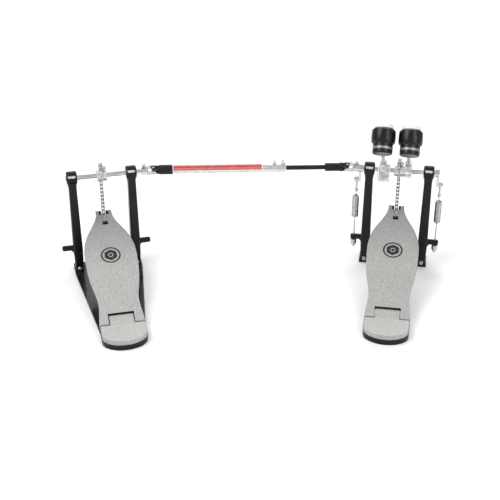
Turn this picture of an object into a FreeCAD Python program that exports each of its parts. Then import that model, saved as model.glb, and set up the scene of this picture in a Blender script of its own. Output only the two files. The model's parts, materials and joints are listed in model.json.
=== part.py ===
"""Double bass drum pedal: a main pedal with two beaters, and a slave pedal that drives the
left beater through a telescopic shaft with two universal joints.

Row frame: the origin is on the floor under the middle of the main pedal's shaft. +X runs
along that shaft to the player's right, +Y points at the drum, and +Z is up.
"""
import FreeCAD, Part
import os
from math import atan2, cos, degrees, pi, radians, sin

V = FreeCAD.Vector

# ---- driving dimensions, millimetres and degrees ----
SHAFT_HEIGHT = 205.0        # floor to cam shaft
POST_SPAN = 114.0           # between the two bearing centres of a pedal
SHAFT_R = 5.0
RUNNING = 0.05              # radial clearance of a pin or shaft that turns
LOOSE = 0.25                # radial clearance of a pin that also tips a little
GAP = 1.0                   # between parts that pass each other

BEARING_R = 9.5
BEARING_WIDTH = 16.0
HOUSING_R = 13.0
HOUSING_WIDTH = 20.5
HOUSING_ROUND = 3.5         # rounded rims of a bearing housing
WINDOW_LENGTH = 15.0
WINDOW_HEIGHT = 7.5
WINDOW_TILT = 35.0          # the window looks this far above the horizontal

POST_TOP = (15.0, 21.0)     # width and depth under the housing
POST_MIDDLE = (18.5, 27.0)  # at the lug
POST_FOOT = (16.0, 30.0)
POST_ROUND = 3.0            # corner radius of a post and its boss
FOOT_HEIGHT = 15.0          # top of the base boss that a post stands in
TENON = (10.0, 20.0, 10.0)  # width, depth and length of the post's tongue
LUG_HEIGHT = 51.0
LUG_R = 5.5
SPRING_OFFSET = 24.0        # spring axis outboard of the bearing centre

HINGE_BACK = 227.0          # heel hinge pin behind the shaft
HINGE_HEIGHT = 12.5
HINGE_PIN_R = 2.5
EAR_R = 8.5                 # footboard ears round the pin, and pin to tread surface
BOARD_SLOPE = 20.5
BOARD_REACH = 270.0         # hinge pin to toe
BOARD_THICKNESS = 6.0
TOE_WIDTH = 31.0
TOE_NECK_WIDTH = 35.0
BALL_WIDTH = 99.0
WAIST_WIDTH = 76.0
HINGE_WIDTH = 84.0
TAB_WIDTH = 45.0            # heel tongue between the footboard's ears
TAB_REACH = 13.0
TAB_SIDE_GAP = 1.6          # tongue to the footboard's ears
TAB_FRONT_GAP = 2.8         # tongue to the front of its window
HINGE_GAP = 1.6             # heel plate to the footboard's ears
RIB_SPACING = 30.0
MEDALLION_AT = 156.0        # centre of the tread's round medallion, from the pin
MEDALLION_R = 19.0
SQUARE_HOLE = (10.5, 9.0)
SQUARE_HOLE_AT = 238.0
TOE_SCREW_AT = 254.0
TOE_NOTCH = (19.0, 10.8)
HORN_ROOM = 0.9             # the clevis horns stand this far outside its cheeks

HEEL_LENGTH = 58.0          # behind the footboard's ears
HEEL_ROUND = 30.0           # length of the rounded end
HEEL_BASE_HEIGHT = 10.0
HEEL_TOP = 19.0
TAB_RISE = 4.5              # tongue's front edge above the heel plate
HEEL_SCREW_ACROSS = 24.0
HEEL_SCREW_BEHIND = 18.0
HEEL_SCREW_R = 2.0
HEEL_SCREW_Z = (2.5, 15.0)

CHAIN_PITCH = 8.0
ROLLER_R = 2.5
CHAIN_PIN_R = 1.15
PLATE_HEIGHT = 7.0
PLATE_THICKNESS = 0.75
INNER_WIDTH = 3.0
SPROCKET_TEETH = 16
SPROCKET_THICKNESS = 2.6
HANGING_LINKS = 13
WRAPPED_PITCHES = 5

HUB_R = 12.0
HUB_LEFT = -9.0
BEATER_SWEEP = 58.0         # travel of a beater from rest to the end of the stroke
BEATER_LEAN = 52.0          # beater leans back this far from the vertical at rest
BEATER_RADIUS = 180.0       # shaft to head centre, along the rod
ROD_R = 4.0
ROD_OFFSET = 11.5           # rod axis from the shaft axis, on the drum's side
ROD_TAIL = 11.0
MAIN_BEATER_AT = 17.2       # along the main shaft
AUX_BEATER_AT = -31.0
BLOCK_FRONT = 17.5          # drum side of a rod clamp, from the shaft axis
ROD_CLAMP = (13.0, 12.0, 16.0)      # width, reach towards the player and length along the rod
AUX_BODY = (10.0, 14.0, 23.5, 8.5)  # left, right, towards the player and the drum, from the rod
AUX_BODY_LENGTH = 25.0
AUX_BODY_ROUND = 2.0
HEAD_R = 21.8
HEAD_REAR_R = 18.0
HEAD_BACK = 20.5            # rod to the rear face
HEAD_LENGTH = 46.0
BAND_AT = -13.5             # light band's rear edge, from the rod towards the drum
BAND_WIDTH = 5.5
NECK_WIDTH = 5.0            # between the band and the barrel
HEAD_FRONT_R = 17.8
FELT_R = 16.7
FELT_THICKNESS = 9.5
FELT_ROUND = 3.5

LEVER_R = 26.0              # spring lever
LEVER_REST = -6.0           # from straight down, towards the player
SWIVEL_R = 6.0
SPRING_TOP = 145.0
SPRING_BOTTOM = 95.5
SPRING_OUTER_R = 6.8
SPRING_WIRE_R = 1.1
SPRING_TURNS = 20
EYE_HEIGHT = 64.0
BOLT_R = 2.0
LEVER_PIN_R = 2.5
LEVER_SIDE = 0.6            # between the swivel's ring and the lever

JOINT_OFFSET = 44.0         # universal joint centre outboard of the bearing centre
DRIVE_ANGLE = 10.8          # bend at each universal joint
DRIVE_LENGTH = 376.0        # between the universal joint centres
FORK_REACH = 11.0           # joint centre to the root of a fork
FORK_INNER = 5.7
FORK_OUTER = 8.6
FORK_WIDTH = 9.0
CROSS_PIN_R = 2.2
DRIVE_ROD_R = 4.5
ROD_SLEEVE = 43.0           # joint centre to the end of the rod's thick sleeve
ROD_LENGTH = 235.0
TUBE_R = 8.0
TUBE_MOUTH = 119.0          # main joint centre to the tube's mouth
TUBE_END = 349.0
TUBE_SLEEVE = (339.0, 365.0)
CLAMP_SCREWS_AT = (125.0, 141.5)

BASE_THICKNESS = 5.0
CLAMP_PLATE_THICKNESS = 8.0
JAW_PIVOT = (31.0, 18.0)
JAW_PIVOT_R = 3.0
JAW_WIDTH = 17.0
HOOP_REACH = 62.0
SEAT_HEIGHT = 6.5
MOUTH_TOP = 20.0
WING_AT = 9.0
WING_R = 3.0
ROD_WIRE_R = 2.5
ROD_WIRE_HEIGHT = 4.0
SCREW_R = 2.5
SCREW_HEAD_R = 4.5
SQUARE_HEAD = 5.6           # across the flats of the key-turned screws
NUT_R = 4.3
YOKE_SCREW_TURN = 12.0      # the yoke's clamp screw leans this much from upright

# ---- sizes that follow from them ----
HALF_SPAN = POST_SPAN / 2
JOINT_AT = HALF_SPAN + JOINT_OFFSET
SPRING_AT = HALF_SPAN + SPRING_OFFSET
PITCH_R = CHAIN_PITCH / (2 * sin(pi / SPROCKET_TEETH))
LINK_ANGLE = 360.0 / SPROCKET_TEETH
TOE_PIN_HEIGHT = SHAFT_HEIGHT - HANGING_LINKS * CHAIN_PITCH
OUTER_PLATE = INNER_WIDTH / 2 + PLATE_THICKNESS + 0.1
HEEL_FRONT = -HINGE_BACK - EAR_R - HINGE_GAP
HEEL_CENTRE = HEEL_FRONT - HEEL_LENGTH + HEEL_ROUND
FOOT_SCREW_Z = BASE_THICKNESS + SCREW_HEAD_R + 0.3
LEVER_FACE = SPRING_AT - SWIVEL_R / 2 - LEVER_SIDE
YOKE_HUB = JOINT_AT - FORK_REACH - LEVER_FACE
YOKE_SCREW_AT = LEVER_FACE + YOKE_HUB * 0.4
X, Y, Z = V(1, 0, 0), V(0, 1, 0), V(0, 0, 1)
AXIS = V(0, 0, SHAFT_HEIGHT)

# the drive shaft runs level from the main joint back to the slave joint
DRIVE_DIRECTION = V(cos(radians(DRIVE_ANGLE)), sin(radians(DRIVE_ANGLE)), 0)
MAIN_JOINT = V(-JOINT_AT, 0, SHAFT_HEIGHT)
SLAVE_JOINT = MAIN_JOINT - DRIVE_DIRECTION * DRIVE_LENGTH
SLAVE_ROTATION = FreeCAD.Rotation(Z, 2 * DRIVE_ANGLE)
SLAVE_ORIGIN = SLAVE_JOINT - SLAVE_ROTATION.multVec(V(JOINT_AT, 0, SHAFT_HEIGHT))
SLAVE = FreeCAD.Placement(SLAVE_ORIGIN, SLAVE_ROTATION)


# ---- shape helpers ----
def box(x0, x1, y0, y1, z0, z1):
    return Part.makeBox(x1 - x0, y1 - y0, z1 - z0, V(x0, y0, z0))


def rod(start, end, radius):
    run = end - start
    return Part.makeCylinder(radius, run.Length, start, run)


def along_x(x0, x1, y, z, radius):
    return rod(V(x0, y, z), V(x1, y, z), radius)


def fuse(*shapes):
    if len(shapes) == 1:
        return shapes[0]
    return shapes[0].multiFuse(list(shapes[1:])).removeSplitter()


def group(*solids):
    return Part.makeCompound(list(solids))


def placed(shape, placement):
    copy = shape.copy()
    copy.Placement = placement.multiply(copy.Placement)
    return copy


def turned(shape, centre, axis, angle):
    copy = shape.copy()
    copy.rotate(centre, axis, angle)
    return copy


def mirrored(shape):
    return shape.mirror(V(0, 0, 0), X)


def prism(points, x0, x1):
    """A side outline in (y, z), extruded from x0 to x1."""
    corners = [V(x0, y, z) for y, z in points]
    return Part.Face(Part.makePolygon(corners + corners[:1])).extrude(V(x1 - x0, 0, 0))


def rounded_rectangle(width, depth, z, radius):
    """A closed wire round the Z axis with four corner arcs."""
    half_w, half_d = width / 2, depth / 2
    edges = []
    points = []
    for side_x, side_y, start in ((1, 1, 0), (-1, 1, 90), (-1, -1, 180), (1, -1, 270)):
        centre = V(side_x * (half_w - radius), side_y * (half_d - radius), z)
        angles = [radians(start + turn) for turn in (0, 45, 90)]
        points.append([centre + V(radius * cos(angle), radius * sin(angle), 0) for angle in angles])
    for index, (first, middle, last) in enumerate(points):
        edges.append(Part.Arc(first, middle, last).toShape())
        edges.append(Part.LineSegment(last, points[(index + 1) % 4][0]).toShape())
    return Part.Wire(edges)


def button_screw(head_face, direction, length, radius=SCREW_R, head_r=SCREW_HEAD_R, head=3.0):
    """A screw whose head stands on head_face and whose shank runs along direction."""
    shank = rod(head_face, head_face + direction * length, radius)
    cap = Part.makeCone(head_r, head_r * 0.7, head, head_face, direction * -1)
    socket = Part.makeCylinder(radius * 0.55, head * 0.6, head_face - direction * head, direction)
    return fuse(shank, cap).cut(socket)


# ---- one pedal, in its own frame with the shaft's middle over the origin ----
def post(side):
    """A cast post with its bearing housing, spring lug and tenon; side is +1 or -1."""
    neck = SHAFT_HEIGHT - HOUSING_R * 0.6
    levels = ((POST_FOOT, FOOT_HEIGHT), (POST_MIDDLE, LUG_HEIGHT), (POST_TOP, neck))
    sections = [rounded_rectangle(*size, level, POST_ROUND) for size, level in levels]
    blank = Part.makeLoft(sections, True, True)
    housing = along_x(-HOUSING_WIDTH / 2, HOUSING_WIDTH / 2, 0, SHAFT_HEIGHT, HOUSING_R)
    housing = housing.makeFillet(HOUSING_ROUND, [edge for edge in housing.Edges if edge.Closed])
    collar = Part.makeCone(POST_TOP[0] / 2, HOUSING_WIDTH / 2 - 0.5, 15.0,
                           V(0, 0, SHAFT_HEIGHT - HOUSING_R - 12.0), Z)
    lug_end = SPRING_OFFSET + LUG_R + 1.0
    lug = fuse(along_x(0, lug_end - 2.0, 0, LUG_HEIGHT, LUG_R),
               Part.makeCone(LUG_R, LUG_R - 2.0, 2.0, V(lug_end - 2.0, 0, LUG_HEIGHT), X))
    web = Part.Face(Part.makePolygon([V(0, -2, LUG_HEIGHT), V(SPRING_OFFSET - 7, -2, LUG_HEIGHT),
                                      V(0, -2, LUG_HEIGHT - 22), V(0, -2, LUG_HEIGHT)])).extrude(V(0, 4, 0))
    width, depth, length = TENON
    tenon = box(-width / 2, width / 2, -depth / 2, depth / 2, FOOT_HEIGHT - length, FOOT_HEIGHT + 1)
    solid = fuse(blank, housing, collar, lug, web, tenon)
    solid = solid.cut(along_x(-BEARING_WIDTH / 2, HOUSING_WIDTH, 0, SHAFT_HEIGHT, BEARING_R))
    solid = solid.cut(along_x(-HOUSING_WIDTH, 0, 0, SHAFT_HEIGHT, SHAFT_R + GAP))
    half, straight = WINDOW_HEIGHT / 2, (WINDOW_LENGTH - WINDOW_HEIGHT) / 2
    ends = [rod(V(x, -HOUSING_R - 1, 0), V(x, 0, 0), half) for x in (-straight, straight)]
    window = fuse(box(-straight, straight, -HOUSING_R - 1, 0, -half, half), *ends)
    window.rotate(V(0, 0, 0), X, -WINDOW_TILT)
    window.translate(AXIS)
    solid = solid.cut(window)
    solid = solid.cut(rod(V(SPRING_OFFSET, 0, 0), V(SPRING_OFFSET, 0, 2 * LUG_HEIGHT), BOLT_R + LOOSE))
    solid = solid.cut(rod(V(0, -depth, FOOT_SCREW_Z), V(0, depth, FOOT_SCREW_Z), SCREW_R + RUNNING))
    if side < 0:
        solid = mirrored(solid)
    solid.translate(V(side * HALF_SPAN, 0, 0))
    return solid


def bearing(side):
    ring = along_x(-BEARING_WIDTH / 2, BEARING_WIDTH / 2, 0, SHAFT_HEIGHT, BEARING_R)
    groove = along_x(-BEARING_WIDTH / 2 - 1, -BEARING_WIDTH / 2 + 0.8, 0, SHAFT_HEIGHT, BEARING_R - 1.5)
    core = along_x(-BEARING_WIDTH / 2 - 1, -BEARING_WIDTH / 2 + 0.8, 0, SHAFT_HEIGHT, SHAFT_R + 1.5)
    ring = ring.cut(groove.cut(core))
    ring = ring.cut(turned(groove.cut(core), AXIS, Z, 180))
    ring = ring.cut(along_x(-BEARING_WIDTH, BEARING_WIDTH, 0, SHAFT_HEIGHT, SHAFT_R + RUNNING))
    ring.translate(V(side * HALF_SPAN, 0, 0))
    return ring


def base_boss(side):
    """The raised foot of a base that takes a post's tenon."""
    boss = rounded_rectangle(POST_FOOT[0], POST_FOOT[1], 0, POST_ROUND)
    solid = Part.Face(boss).extrude(V(0, 0, FOOT_HEIGHT))
    solid.translate(V(side * HALF_SPAN, 0, 0))
    return solid


def tenon_pocket(side):
    width, depth, length = TENON
    centre = side * HALF_SPAN
    pocket = box(centre - width / 2, centre + width / 2, -depth / 2, depth / 2,
                 FOOT_HEIGHT - length, FOOT_HEIGHT + 1)
    bore = rod(V(centre, -POST_FOOT[1], FOOT_SCREW_Z), V(centre, depth / 2 + 3.0, FOOT_SCREW_Z), SCREW_R)
    return fuse(pocket, bore)


def post_screw(side):
    face = V(side * HALF_SPAN, -POST_FOOT[1] / 2, FOOT_SCREW_Z)
    return button_screw(face, Y, POST_FOOT[1] / 2 + TENON[1] / 2 + 2.5)


def board_outline():
    """The tread's outline in its own plane, u along the board from the hinge pin."""
    stations = [(-EAR_R - 1, HINGE_WIDTH), (8.0, HINGE_WIDTH - 2), (46.0, WAIST_WIDTH), (92.0, 91.0),
                (142.0, BALL_WIDTH), (172.0, 97.5), (212.0, 74.0), (238.0, 46.0), (252.0, TOE_NECK_WIDTH),
                (BOARD_REACH, TOE_WIDTH)]
    right = [V(width / 2, u, 0) for u, width in stations]
    left = [V(-point.x, point.y, 0) for point in reversed(right)]
    curves = []
    for side in (right, left):
        spline = Part.BSplineCurve()
        spline.interpolate(side)
        curves.append(spline.toShape())
    curves.insert(1, Part.LineSegment(right[-1], left[0]).toShape())
    curves.append(Part.LineSegment(left[-1], right[0]).toShape())
    return Part.Wire(curves)


def board_section():
    """Side section of the tread: round ears at the pin, then the plate."""
    top, under = EAR_R, EAR_R - BOARD_THICKNESS
    x = -BALL_WIDTH
    end = BOARD_REACH + 1
    corners = [V(x, 22.0, under - 2), V(x, 34.0, under), V(x, end, under), V(x, end, top)]
    edges = [Part.Arc(V(x, 0, top), V(x, -EAR_R, 0), V(x, 0, -EAR_R)).toShape()]
    for first, second in zip([V(x, 0, -EAR_R)] + corners, corners + [V(x, 0, top)]):
        edges.append(Part.LineSegment(first, second).toShape())
    return Part.Face(Part.Wire(edges)).extrude(V(2 * BALL_WIDTH, 0, 0))


def on_board(shape):
    """Carry a shape from the tread's plane, pin at the origin, to its sloping place."""
    copy = turned(shape, V(0, 0, 0), X, BOARD_SLOPE)
    copy.translate(V(0, -HINGE_BACK, HINGE_HEIGHT))
    return copy


def footboard():
    top, under = EAR_R, EAR_R - BOARD_THICKNESS
    blank = Part.Face(board_outline()).extrude(V(0, 0, 4 * EAR_R))
    blank.translate(V(0, 0, -2 * EAR_R))
    ear_inner = TAB_WIDTH / 2 + TAB_SIDE_GAP
    ribs = [box(side * RIB_SPACING / 2 - 2, side * RIB_SPACING / 2 + 2, 24.0, 226.0, under - 5.0, top - 1)
            for side in (-1, 1)]
    solid = fuse(blank.common(board_section()), *ribs)
    slope = radians(BOARD_SLOPE)
    tab_tip = TAB_REACH * cos(slope) + (HEEL_TOP + TAB_RISE - HINGE_HEIGHT) * sin(slope)
    window_end = tab_tip + TAB_FRONT_GAP
    solid = solid.cut(box(-ear_inner, ear_inner, -2 * EAR_R, window_end, -2 * EAR_R, 2 * EAR_R))
    solid = solid.cut(along_x(-HINGE_WIDTH, HINGE_WIDTH, 0, 0, HINGE_PIN_R + RUNNING))
    half_w, half_l = SQUARE_HOLE[0] / 2, SQUARE_HOLE[1] / 2
    solid = solid.cut(box(-half_w, half_w, SQUARE_HOLE_AT - half_l, SQUARE_HOLE_AT + half_l, 0, 2 * top))
    solid = solid.cut(box(-TOE_NOTCH[0] / 2, TOE_NOTCH[0] / 2, BOARD_REACH - TOE_NOTCH[1], BOARD_REACH + 1,
                          0, 2 * top))
    solid = solid.cut(rod(V(0, TOE_SCREW_AT, 0), V(0, TOE_SCREW_AT, 2 * top), SCREW_R))
    ring = rod(V(0, MEDALLION_AT, top - 1.0), V(0, MEDALLION_AT, top + 1), MEDALLION_R)
    solid = solid.cut(ring.cut(rod(V(0, MEDALLION_AT, 0), V(0, MEDALLION_AT, 2 * top), MEDALLION_R - 3.0)))
    dimples = [V(0, MEDALLION_AT, top - 1.5)]
    for index in range(6):
        angle = radians(60 * index)
        dimples.append(V(9.5 * sin(angle), MEDALLION_AT + 9.5 * cos(angle), top - 1.5))
    for spot in dimples:
        solid = solid.cut(rod(spot, spot + Z * 3, 3.2))
    return on_board(solid)


def toe_clevis():
    """The bracket under the toe that carries the chain's last pin."""
    under = EAR_R - BOARD_THICKNESS
    pad = box(-8.0, 8.0, SQUARE_HOLE_AT - 8.0, TOE_SCREW_AT + 5.0, under - 3.0, under)
    pad = pad.cut(rod(V(0, TOE_SCREW_AT, -9), V(0, TOE_SCREW_AT, 9), SCREW_R))
    pad = on_board(pad)
    pin = V(0, PITCH_R, TOE_PIN_HEIGHT)
    back = on_board(Part.Vertex(0, TOE_SCREW_AT + 5, under - 1.5)).Point
    cheek_in, cheek_out = OUTER_PLATE + PLATE_THICKNESS + 0.4, TOE_NOTCH[0] / 2 - 0.3
    cheeks = []
    for side in (-1, 1):
        x0, x1 = sorted((side * cheek_in, side * cheek_out))
        outline = [(back.y - 6.0, back.z - 3.4), (back.y - 6.0, back.z + 1.2), (back.y, back.z + 1.4),
                   (pin.y + 1.5, pin.z + 3.4), (pin.y + 1.5, pin.z - 3.4), (back.y, back.z - 5.0)]
        strip = prism(outline, x0, x1)
        cheeks.append(fuse(strip, along_x(x0, x1, pin.y, pin.z, 3.6)))
    nut_room = rod(V(0, TOE_SCREW_AT, -2 * EAR_R), V(0, TOE_SCREW_AT, under - 3.0), NUT_R + 0.2)
    nut_room = on_board(nut_room)
    cheeks = [cheek.cut(nut_room) for cheek in cheeks]
    above = on_board(box(-20, 20, 0, BOARD_REACH + 9, under, 2 * EAR_R))
    horns = []
    for side in (-1, 1):
        x0, x1 = sorted((side * (cheek_in + HORN_ROOM), side * cheek_out))
        notch_back = BOARD_REACH - TOE_NOTCH[1] + 0.4
        horns.append(on_board(box(x0, x1, notch_back, BOARD_REACH - 0.2, under - 3.0, EAR_R - 0.5)))
    solid = fuse(fuse(pad, *cheeks).cut(above), *horns)
    solid = solid.cut(on_board(rod(V(0, TOE_SCREW_AT, -9), V(0, TOE_SCREW_AT, 9), SCREW_R)))
    return solid.cut(along_x(-TOE_NOTCH[0], TOE_NOTCH[0], pin.y, pin.z, CHAIN_PIN_R + RUNNING))


def toe_screw():
    top, under = EAR_R, EAR_R - BOARD_THICKNESS
    screw = button_screw(V(0, TOE_SCREW_AT, top), V(0, 0, -1), BOARD_THICKNESS + 6.5, head_r=4.2, head=2.2)
    nut = rod(V(0, TOE_SCREW_AT, under - 6.0), V(0, TOE_SCREW_AT, under - 3.0), NUT_R)
    nut = nut.cut(rod(V(0, TOE_SCREW_AT, -9), V(0, TOE_SCREW_AT, 9), SCREW_R))
    return group(on_board(screw), on_board(nut))


def heel_outline(height, trim=0.0):
    """Heel outline: straight sides and a half-ellipse end."""
    half = HINGE_WIDTH / 2 - trim
    ellipse = Part.Ellipse(V(0, HEEL_CENTRE, height), half, HEEL_ROUND - trim)
    end = Part.ArcOfEllipse(ellipse, pi, 2 * pi).toShape()
    front = HEEL_FRONT - trim
    sides = [Part.LineSegment(V(half, HEEL_CENTRE, height), V(half, front, height)).toShape(),
             Part.LineSegment(V(half, front, height), V(-half, front, height)).toShape(),
             Part.LineSegment(V(-half, front, height), V(-half, HEEL_CENTRE, height)).toShape()]
    return Part.Face(Part.Wire([end] + sides))


def heel_plate():
    """The grey heel rest with the tongue that holds the hinge pin."""
    slab = heel_outline(HEEL_BASE_HEIGHT, 1.0).extrude(V(0, 0, HEEL_TOP - HEEL_BASE_HEIGHT))
    tab_front = -HINGE_BACK + TAB_REACH
    low = HINGE_HEIGHT - 5.5
    outline = [(HEEL_FRONT - 5.0, HEEL_BASE_HEIGHT), (HEEL_FRONT - 5.0, HEEL_TOP), (HEEL_FRONT, HEEL_TOP),
               (tab_front, HEEL_TOP + TAB_RISE), (tab_front, low + 5.0), (tab_front - 6.0, low),
               (HEEL_FRONT + 0.5, low), (HEEL_FRONT + 0.5, HEEL_BASE_HEIGHT)]
    tab = prism(outline, -TAB_WIDTH / 2, TAB_WIDTH / 2)
    solid = fuse(slab, tab)
    solid = solid.cut(along_x(-HINGE_WIDTH, HINGE_WIDTH, -HINGE_BACK, HINGE_HEIGHT, HINGE_PIN_R))
    return solid.cut(fuse(*heel_screws()))


def heel_screws():
    low, high = HEEL_SCREW_Z
    y = HEEL_FRONT - HEEL_SCREW_BEHIND
    places = (-HEEL_SCREW_ACROSS, HEEL_SCREW_ACROSS)
    return [rod(V(x, y, low), V(x, y, high), HEEL_SCREW_R) for x in places]


def heel_pin():
    return along_x(-HINGE_WIDTH / 2, HINGE_WIDTH / 2, -HINGE_BACK, HINGE_HEIGHT, HINGE_PIN_R)


# ---- chain and sprocket ----
def plate_pair(p, q, inside):
    """Two figure-eight side plates between the pins p and q, each given as (y, z)."""
    y0, z0 = p
    angle = degrees(atan2(q[1] - z0, q[0] - y0))
    plates = []
    for side in (-1, 1):
        x0, x1 = sorted((side * inside, side * (inside + PLATE_THICKNESS)))
        waist = box(x0, x1, 0, CHAIN_PITCH, -PLATE_HEIGHT * 0.36, PLATE_HEIGHT * 0.36)
        waist.rotate(V(0, 0, 0), X, angle)
        waist.translate(V(0, y0, z0))
        ends = [along_x(x0, x1, y, z, PLATE_HEIGHT / 2) for y, z in (p, q)]
        plates.append(fuse(waist, *ends))
    return plates


def inner_link(p, q):
    plates = plate_pair(p, q, INNER_WIDTH / 2)
    reach = INNER_WIDTH / 2 + PLATE_THICKNESS
    rollers = [along_x(-INNER_WIDTH / 2 - 0.1, INNER_WIDTH / 2 + 0.1, y, z, ROLLER_R) for y, z in (p, q)]
    link = fuse(*plates, *rollers)
    for y, z in (p, q):
        link = link.cut(along_x(-reach - 1, reach + 1, y, z, CHAIN_PIN_R + RUNNING))
    return link


def outer_link(p, q, open_first=False, last_past=0.6):
    """Outer plates with their two pins; an open first pin keeps only its riveted ends."""
    plates = plate_pair(p, q, OUTER_PLATE)
    reach = OUTER_PLATE + PLATE_THICKNESS
    pins = [along_x(-reach - past, reach + past, y, z, CHAIN_PIN_R)
            for (y, z), past in zip((p, q), (0.6, last_past))]
    if open_first:
        pins[0] = pins[0].cut(along_x(-OUTER_PLATE, OUTER_PLATE, *p, 2 * CHAIN_PIN_R))
        return fuse(*plates, *pins[0].Solids, pins[1])
    return fuse(*plates, *pins)


def wrap_pin(index):
    """Centre of a wrapped pin; pin 0 is where the straight run starts."""
    angle = radians(index * LINK_ANGLE)
    return PITCH_R * cos(angle), SHAFT_HEIGHT + PITCH_R * sin(angle)


def hang_pin(index):
    return PITCH_R, SHAFT_HEIGHT - index * CHAIN_PITCH


def hanging_chain():
    links = []
    for index in range(HANGING_LINKS):
        ends = hang_pin(index), hang_pin(index + 1)
        if index % 2:
            links.append(inner_link(*ends))
        else:
            last = index == HANGING_LINKS - 1
            links.append(outer_link(*ends, open_first=index == 0, last_past=2.6 if last else 0.6))
    return group(*links)


def bending_chain():
    """The two links that leave the sprocket first."""
    return group(inner_link(wrap_pin(0), wrap_pin(1)), outer_link(wrap_pin(1), wrap_pin(2)))


def wrapped_chain():
    links = [inner_link(wrap_pin(2), wrap_pin(3)), outer_link(wrap_pin(3), wrap_pin(4)),
             inner_link(wrap_pin(4), wrap_pin(5))]
    return group(*links)


def sprocket_disc():
    root_r = PITCH_R - ROLLER_R - 0.35
    tip_r = PITCH_R + 1.4
    half = SPROCKET_THICKNESS / 2
    shapes = [along_x(-half, half, 0, SHAFT_HEIGHT, root_r)]
    for index in range(SPROCKET_TEETH):
        tooth = prism([(root_r - 2, -1.7), (root_r - 2, 1.7), (PITCH_R, 0.8), (tip_r, 0.4), (tip_r, -0.4),
                       (PITCH_R, -0.8)], -half, half)
        tooth.rotate(V(0, 0, 0), X, (index + 0.5) * LINK_ANGLE)
        tooth.translate(AXIS)
        shapes.append(tooth)
    return fuse(*shapes)


def sprocket_hub(x0, x1):
    """Hub and sprocket in one casting, with a cheek that holds the chain's last pin."""
    hub = along_x(x0, x1, 0, SHAFT_HEIGHT, HUB_R)
    y, z = wrap_pin(WRAPPED_PITCHES)
    cheek_x = OUTER_PLATE + PLATE_THICKNESS + 0.4
    cheek = fuse(along_x(cheek_x, cheek_x + 3.0, y, z, 4.0),
                 turned(box(cheek_x, cheek_x + 3.0, 0, PITCH_R, -4.0, 4.0), V(0, 0, 0), X,
                        WRAPPED_PITCHES * LINK_ANGLE).translated(AXIS))
    solid = fuse(hub, sprocket_disc(), cheek)
    bore = along_x(x0 - 1, x1 + 1, 0, SHAFT_HEIGHT, SHAFT_R)
    return solid.cut(fuse(bore, along_x(-9, cheek_x + 9, y, z, CHAIN_PIN_R + RUNNING)))


def chain_screw():
    y, z = wrap_pin(WRAPPED_PITCHES)
    reach = OUTER_PLATE + PLATE_THICKNESS
    shank = along_x(-reach - 1.5, reach + 3.4, y, z, CHAIN_PIN_R)
    head = along_x(reach + 3.4, reach + 5.4, y, z, 2.6)
    end = along_x(-reach - 2.2, -reach - 0.6, y, z, 2.2)
    return fuse(shank, head, end)


# ---- beaters ----
def lean(shape):
    """Tip a shape built on an upright beater back to its rest angle."""
    return turned(shape, AXIS, X, BEATER_LEAN)


def aux_body(at):
    """Rounded block of the left beater's hub."""
    left, right, back, front = AUX_BODY
    half = AUX_BODY_LENGTH / 2
    block = box(at - left, at + right, -back, front, SHAFT_HEIGHT - half, SHAFT_HEIGHT + half)
    return lean(block.makeFillet(AUX_BODY_ROUND, block.Edges))


def rod_clamp(at):
    """Clamp block on the shaft: the rod runs through it on the drum's side."""
    width, reach, length = ROD_CLAMP
    x0, x1 = at - width / 2, at + width / 2
    block = box(x0, x1, -reach, BLOCK_FRONT, SHAFT_HEIGHT - length / 2, SHAFT_HEIGHT + length / 2)
    return lean(fuse(block, along_x(x0, x1, 0, SHAFT_HEIGHT, HUB_R)))


def rod_bore(at):
    centre = V(at, ROD_OFFSET, SHAFT_HEIGHT)
    bore = rod(centre - Z * 2 * HUB_R, centre + Z * 2 * HUB_R, ROD_R + RUNNING)
    screw = rod(V(at, 2 * BLOCK_FRONT, SHAFT_HEIGHT), centre, SCREW_R)
    return lean(fuse(bore, screw))


def block_screw(at):
    """Square-headed clamp screw that bears on the rod."""
    face = V(at, BLOCK_FRONT, SHAFT_HEIGHT)
    half = SQUARE_HEAD / 2
    shank = rod(face, V(at, ROD_OFFSET + ROD_R + 0.1, SHAFT_HEIGHT), SCREW_R)
    head = box(at - half, at + half, face.y, face.y + 6.0, SHAFT_HEIGHT - half, SHAFT_HEIGHT + half)
    flange = rod(face, face + Y * 1.5, SCREW_HEAD_R)
    return lean(fuse(shank, head, flange))


def beater_rod(at):
    foot = V(at, ROD_OFFSET, SHAFT_HEIGHT - ROD_TAIL)
    tip = V(at, ROD_OFFSET, SHAFT_HEIGHT + BEATER_RADIUS + HEAD_R * 0.5)
    return lean(rod(foot, tip, ROD_R))


def turned_profile(start, crown, end):
    """A solid turned round the Y axis from (y, radius) points, crowned between its two halves."""
    start, end = [V(radius, y, 0) for y, radius in start], [V(radius, y, 0) for y, radius in end]
    edges = [Part.LineSegment(a, b).toShape() for a, b in zip(start, start[1:])]
    edges.append(Part.Arc(start[-1], V(crown[1], crown[0], 0), end[0]).toShape())
    edges += [Part.LineSegment(a, b).toShape() for a, b in zip(end, end[1:])]
    edges.append(Part.LineSegment(end[-1], start[0]).toShape())
    return Part.Face(Part.Wire(edges)).revolve(V(0, 0, 0), Y, 360)


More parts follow.
